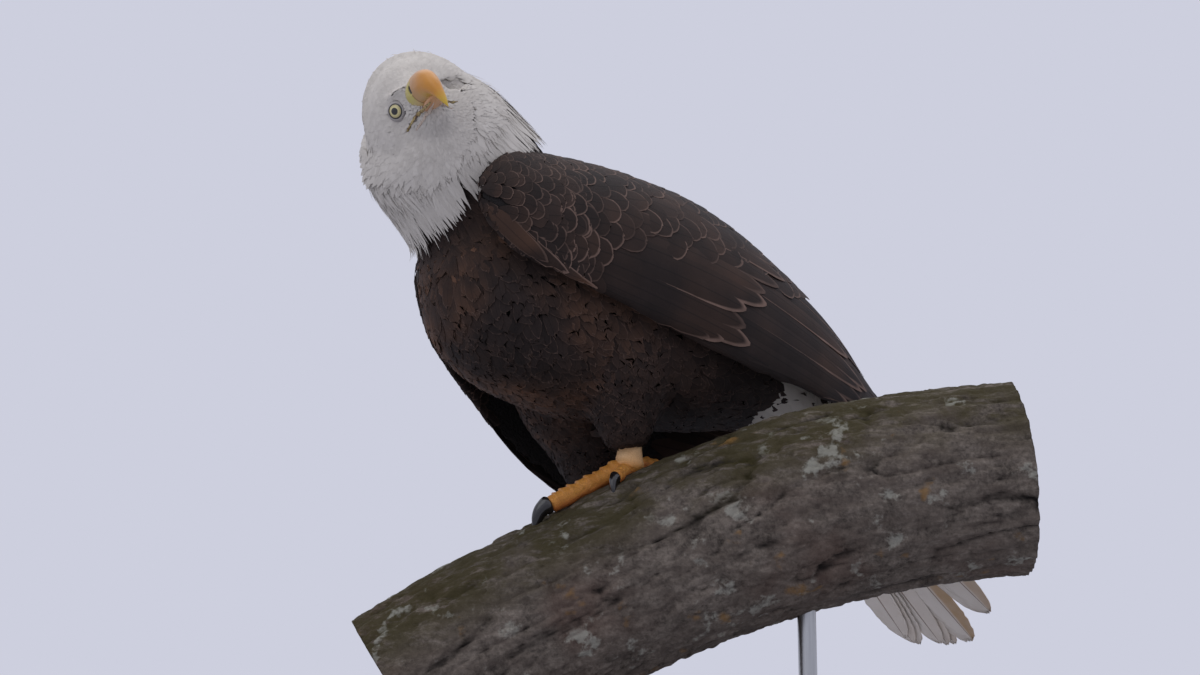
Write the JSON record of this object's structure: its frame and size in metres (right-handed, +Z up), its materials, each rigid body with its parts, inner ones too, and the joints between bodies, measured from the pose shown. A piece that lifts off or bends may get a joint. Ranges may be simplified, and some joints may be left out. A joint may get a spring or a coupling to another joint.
{
  "type": "bald eagle model",
  "caption": "Life-size bald eagle with folded wings, leaning forward on a thick sloping log and turning its head to look down over its shoulder, held by a plain stand.",
  "frame": {"origin": "centre of the stand base's underside, on the floor", "axes": "+Z up; +X along the log and the long side of the base, towards the log's higher end; -Y towards the side the eagle's face and left wing are seen from. The eagle faces about 215 degrees round from +X."},
  "size_m": [0.6644, 0.5768, 0.81],
  "materials": {
    "dark_feathers": "matt, with pale brown feather edges",
    "white_feathers": "matt white",
    "bill": "satin horn",
    "eyes": "glossy",
    "legs": "matt, finely scaled",
    "toes": "matt, scaled",
    "claws": "polished horn",
    "log": "rough fissured bark with moss and lichen, sawn ends",
    "base": "dark satin lacquer",
    "rods": "satin"
  },
  "bodies": {
    "root": {"trunk": "dark_feathers", "wing_left": "dark_feathers", "wing_right": "dark_feathers", "thigh_left": "dark_feathers", "thigh_right": "dark_feathers", "head": "white_feathers", "neck": "white_feathers", "tail": "white_feathers", "bill_upper": "bill", "bill_lower": "bill", "eye_left": "eyes", "tarsus_left": "legs", "toe_left_hind": "toes", "claw_left_hind": "claws", "toe_left_inner": "toes", "claw_left_inner": "claws", "toe_left_middle": "toes", "claw_left_middle": "claws", "toe_left_outer": "toes", "claw_left_outer": "claws", "eye_right": "eyes", "tarsus_right": "legs", "toe_right_hind": "toes", "claw_right_hind": "claws", "toe_right_inner": "toes", "claw_right_inner": "claws", "toe_right_middle": "toes", "claw_right_middle": "claws", "toe_right_outer": "toes", "claw_right_outer": "claws", "perch": "log", "stand_base": "base", "stand_rod_1": "rods", "stand_rod_2": "rods"}
  },
  "joints": []
}
